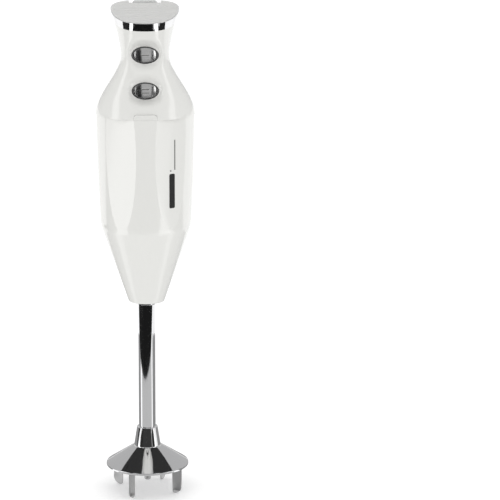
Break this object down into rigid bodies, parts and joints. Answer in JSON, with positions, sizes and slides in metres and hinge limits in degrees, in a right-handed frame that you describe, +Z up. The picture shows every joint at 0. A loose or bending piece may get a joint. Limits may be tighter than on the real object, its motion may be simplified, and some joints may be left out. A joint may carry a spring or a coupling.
{
  "type": "immersion blender",
  "caption": "Stick immersion blender: faceted motor handle with oval push buttons, a slim shaft tube and a finned guard bell around its drive spigot.",
  "frame": {"origin": "on the drive axis, in the plane that the guard's fins stand on", "axes": "+Z up along the drive axis to the cap, -Y the front with the push buttons, +Y the back with the cord inlet, +X to the right hand of someone facing +Y"},
  "size_m": [0.0684, 0.0682, 0.3479],
  "materials": {
    "shell_white": "gloss moulded plastic, very slightly warm",
    "cap_brushed": "straight brushed, bright",
    "chrome_trim": "polished",
    "button_metal": "satin chrome",
    "shaft_chrome": "mirror polished",
    "fin_steel": "satin",
    "spindle_steel": "ground",
    "gland_plastic": "satin moulded plastic, pale grey",
    "black_rubber": "matt",
    "sintered_bronze": "sintered, oiled",
    "frame_plastic": "glass-filled, matt",
    "fan_plastic": "matt, natural",
    "core_steel": "laminated, oiled",
    "enamel_copper": "enamelled winding wire",
    "bare_copper": "turned",
    "brush_carbon": "pressed carbon",
    "holder_brass": "stamped",
    "spring_steel": "drawn wire",
    "bearing_steel": "ground",
    "screw_zinc": "zinc plated",
    "switch_black": "moulded",
    "board_green": "solder mask",
    "capacitor_yellow": "moulded case",
    "terminal_nylon": "moulded",
    "wire_sleeve": "insulation"
  },
  "bodies": {
    "housing": {"lower_housing": "shell_white", "upper_housing": "shell_white", "top_cap": "chrome_trim", "top_plate": "cap_brushed", "cord_gland": "gland_plastic", "gland_gasket": "black_rubber", "housing_seal": "black_rubber", "nose_seal": "black_rubber", "guard_bell": "shaft_chrome", "guard_fins": "fin_steel", "shaft_tube": "shaft_chrome", "tube_ring": "chrome_trim", "lower_bush": "sintered_bronze", "upper_bushes": "sintered_bronze", "shaft_seal": "black_rubber", "coupling_housing": "frame_plastic", "lower_bracket": "frame_plastic", "upper_bracket": "frame_plastic", "motor_screws": "screw_zinc", "housing_screws": "screw_zinc", "motor_dampers": "black_rubber", "stator_core": "core_steel", "field_coils": "enamel_copper", "brush_holders": "holder_brass", "rear_brush_spring": "spring_steel", "front_brush_spring": "spring_steel", "outer_races": "bearing_steel", "bearing_balls": "bearing_steel", "bearing_cages": "holder_brass", "low_speed_bezel": "chrome_trim", "low_speed_spring": "spring_steel", "high_speed_bezel": "chrome_trim", "high_speed_spring": "spring_steel", "switches": "switch_black", "switch_carrier": "frame_plastic", "circuit_board": "board_green", "capacitor": "capacitor_yellow", "diode": "switch_black", "terminal_block": "terminal_nylon", "cord_clamp": "terminal_nylon", "small_screws": "screw_zinc", "lead_wires": "wire_sleeve"},
    "low_speed_key": {"low_speed_button": "button_metal", "low_speed_plunger": "switch_black"},
    "high_speed_key": {"high_speed_button": "button_metal", "high_speed_plunger": "switch_black"},
    "rotor": {"armature_shaft": "spindle_steel", "armature_core": "core_steel", "armature_windings": "enamel_copper", "commutator_hub": "frame_plastic", "commutator_bars": "bare_copper", "fan": "fan_plastic", "coupling_sleeve": "core_steel", "coupling_set_screws": "screw_zinc", "drive_shaft": "spindle_steel", "cross_pin": "spindle_steel", "inner_races": "bearing_steel", "retaining_rings": "spring_steel"},
    "front_carbon": {"front_brush": "brush_carbon"},
    "rear_carbon": {"rear_brush": "brush_carbon"}
  },
  "joints": [
    {"name": "low_speed_press", "type": "slide", "parent": "housing", "child": "low_speed_key", "axis": [0, 0.9848, -0.1736], "range_m": [0, 0.0022], "stiffness_N_per_m": 800, "deforming": ["low_speed_spring"]},
    {"name": "high_speed_press", "type": "slide", "parent": "housing", "child": "high_speed_key", "axis": [0, 0.9848, -0.1736], "range_m": [0, 0.0022], "stiffness_N_per_m": 800, "deforming": ["high_speed_spring"]},
    {"name": "motor_spin", "type": "hinge", "parent": "housing", "child": "rotor", "pos_m": [0, 0, 0.2], "axis": [0, 0, 1], "continuous": true},
    {"name": "front_brush_wear", "type": "slide", "parent": "housing", "child": "front_carbon", "axis": [0, -1, 0], "range_m": [0, 0.0025], "stiffness_N_per_m": 150, "springref_m": -0.004, "deforming": ["front_brush_spring"]},
    {"name": "rear_brush_wear", "type": "slide", "parent": "housing", "child": "rear_carbon", "axis": [0, 1, 0], "range_m": [0, 0.0025], "stiffness_N_per_m": 150, "springref_m": -0.004, "deforming": ["rear_brush_spring"]}
  ]
}
